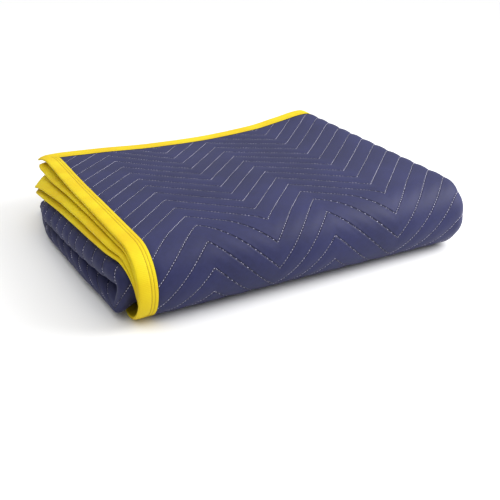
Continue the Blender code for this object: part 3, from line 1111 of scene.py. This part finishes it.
class BLANKET_OT_panel(bpy.types.Operator):
    """Make the quilted cloth"""

    bl_idname = "blanket.panel"
    bl_label = "Quilted panel"

    def execute(self, context):
        sizes = context.scene.blanket_sizes
        body = panel_object(sizes)
        body.data.materials.append(cloth_material(sizes))
        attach(body, "root")
        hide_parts("pad")
        return {"FINISHED"}


class BLANKET_OT_binding(bpy.types.Operator):
    """Make the tape round the edge"""

    bl_idname = "blanket.binding"
    bl_label = "Edge binding"

    def execute(self, context):
        sizes = context.scene.blanket_sizes
        body = binding_object()
        body.data.materials.append(tape_material(sizes))
        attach(body, "root")
        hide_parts("binding")
        return {"FINISHED"}


class BLANKET_OT_quilting(bpy.types.Operator):
    """Sew the quilting rows"""

    bl_idname = "blanket.quilting"
    bl_label = "Quilting thread"

    def execute(self, context):
        sizes = context.scene.blanket_sizes
        thread = context.scene.blanket_thread
        inner = TAPE_WIDE + 0.002
        loop = (END_3 - 0.055, END_4 + 0.055)
        zones = (
            (inner, END_2 - 0.004, inner, FRONT_END - 0.006),
            (*loop, inner, FLAP + EDGE_TURN),
            (*loop, FLAP + EDGE_TURN, CLOTH_T - inner),
        )
        runs = []
        for zone in zones:
            runs += row_runs(sizes, zone)
        lines = placed_runs(runs, sizes, 0.00012)
        material = thread_material("quilting_thread", tuple(thread.colour), 0.6)
        body = sew(
            "quilting_thread",
            lines,
            thread.spacing,
            thread.length,
            thread.radius,
            material,
        )
        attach(body, "root")
        return {"FINISHED"}


class BLANKET_OT_seam(bpy.types.Operator):
    """Sew the two rows that hold the tape"""

    bl_idname = "blanket.seam"
    bl_label = "Binding thread"

    def execute(self, context):
        thread = context.scene.blanket_thread
        lines = []
        height = np.full(300, SEAM_HEIGHT)
        for e in SEAMS:
            place = np.full(300, e)
            s = np.linspace(e, END_2 + 0.02, 300)
            lines.append(folded(s, place, height))
            t = np.linspace(e, FRONT_END + 0.08, 300)
            lines.append(folded(place, t, height))
        material = thread_material("binding_thread", tuple(thread.tape_colour), 0.5)
        body = sew("binding_thread", lines, 0.0033, 0.0027, 0.00022, material)
        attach(body, "root")
        return {"FINISHED"}


class BLANKET_OT_stage(bpy.types.Operator):
    """Set up the floor, the light and the camera"""

    bl_idname = "blanket.stage"
    bl_label = "Stage"

    def execute(self, context):
        stage = context.scene.blanket_stage
        mesh = bpy.data.meshes.new("floor")
        far = 14.0
        corners = [(-far, -far, 0), (far, -far, 0), (far, far, 0), (-far, far, 0)]
        mesh.from_pydata(corners, [], [(0, 1, 2, 3)])
        floor = bpy.data.objects.new("floor", mesh)
        mesh.materials.append(floor_material(tuple(stage.floor)))
        context.scene.collection.objects.link(floor)
        world = bpy.data.worlds.new("studio")
        world.use_nodes = True
        sky = world.node_tree.nodes["Background"]
        sky.inputs["Color"].default_value = (1.0, 1.0, 1.0, 1.0)
        tree = world.node_tree
        toward = tree.nodes.new("ShaderNodeTexCoord")
        direction = Wire(tree, toward.outputs["Generated"])
        up = direction.node("ShaderNodeSeparateXYZ", {}, {0: direction}, 2)
        up = up.maths("MAXIMUM", 0.0)
        right = direction.node("ShaderNodeSeparateXYZ", {}, {0: direction}, 0)
        even = (right * 0.8 + 1.0) * stage.horizon
        put(tree, sky.inputs["Strength"], up * up * stage.sky + even)
        context.scene.world = world
        context.scene.view_settings.view_transform = "Standard"
        lamp("side_lamp", (0.98, -0.62, 0.78), (0.05, 0, 0.05), 0.85, stage.key)
        camera_data = bpy.data.cameras.new("camera")
        camera_data.sensor_width = 36.0
        camera_data.sensor_fit = "HORIZONTAL"
        camera_data.lens = 62.0
        camera_data.clip_end = 60.0
        camera = bpy.data.objects.new("camera", camera_data)
        camera.location = (-0.30959 + MIDDLE[0], -0.84750 + MIDDLE[1], 0.53355)
        camera.rotation_euler = (math.pi / 2 - 0.44021, 0.0, -0.49731)
        context.scene.collection.objects.link(camera)
        context.scene.camera = camera
        return {"FINISHED"}


def lamp(name, place, target, size, power):
    """A square soft lamp that faces a point."""
    data = bpy.data.lights.new(name, "AREA")
    data.shape = "SQUARE"
    data.size = size
    data.energy = power
    body = bpy.data.objects.new(name, data)
    body.location = place
    aim = Vector(target) - Vector(place)
    body.rotation_euler = aim.to_track_quat("-Z", "Y").to_euler()
    bpy.context.scene.collection.objects.link(body)
    return body


class BLANKET_PT_sidebar(bpy.types.Panel):
    """Lists the pieces and their sizes"""

    bl_idname = "BLANKET_PT_sidebar"
    bl_label = "Folded blanket"
    bl_space_type = "VIEW_3D"
    bl_region_type = "UI"
    bl_category = "Blanket"

    def draw(self, context):
        scene = context.scene
        for group in (scene.blanket_sizes, scene.blanket_thread, scene.blanket_stage):
            box = self.layout.box()
            for name in group.bl_rna.properties.keys():
                if name not in ("rna_type", "name"):
                    box.prop(group, name)
        for operator in STEPS:
            self.layout.operator(operator.bl_idname)


STEPS = (
    BLANKET_OT_panel,
    BLANKET_OT_binding,
    BLANKET_OT_quilting,
    BLANKET_OT_seam,
    BLANKET_OT_stage,
)
GROUPS = (
    ("blanket_sizes", BlanketSizes),
    ("blanket_thread", ThreadSizes),
    ("blanket_stage", StageSizes),
)


def register():
    """Register the classes and the scene's groups."""
    for name, group in GROUPS:
        bpy.utils.register_class(group)
        setattr(bpy.types.Scene, name, bpy.props.PointerProperty(type=group))
    for operator in STEPS:
        bpy.utils.register_class(operator)
    bpy.utils.register_class(BLANKET_PT_sidebar)


def unregister():
    """Take the classes and groups away again."""
    bpy.utils.unregister_class(BLANKET_PT_sidebar)
    for operator in reversed(STEPS):
        bpy.utils.unregister_class(operator)
    for name, group in reversed(GROUPS):
        delattr(bpy.types.Scene, name)
        bpy.utils.unregister_class(group)


def main():
    """Make every piece in order."""
    register()
    bpy.ops.blanket.panel()
    bpy.ops.blanket.binding()
    bpy.ops.blanket.quilting()
    bpy.ops.blanket.seam()
    bpy.ops.blanket.stage()


if __name__ == "__main__":
    main()
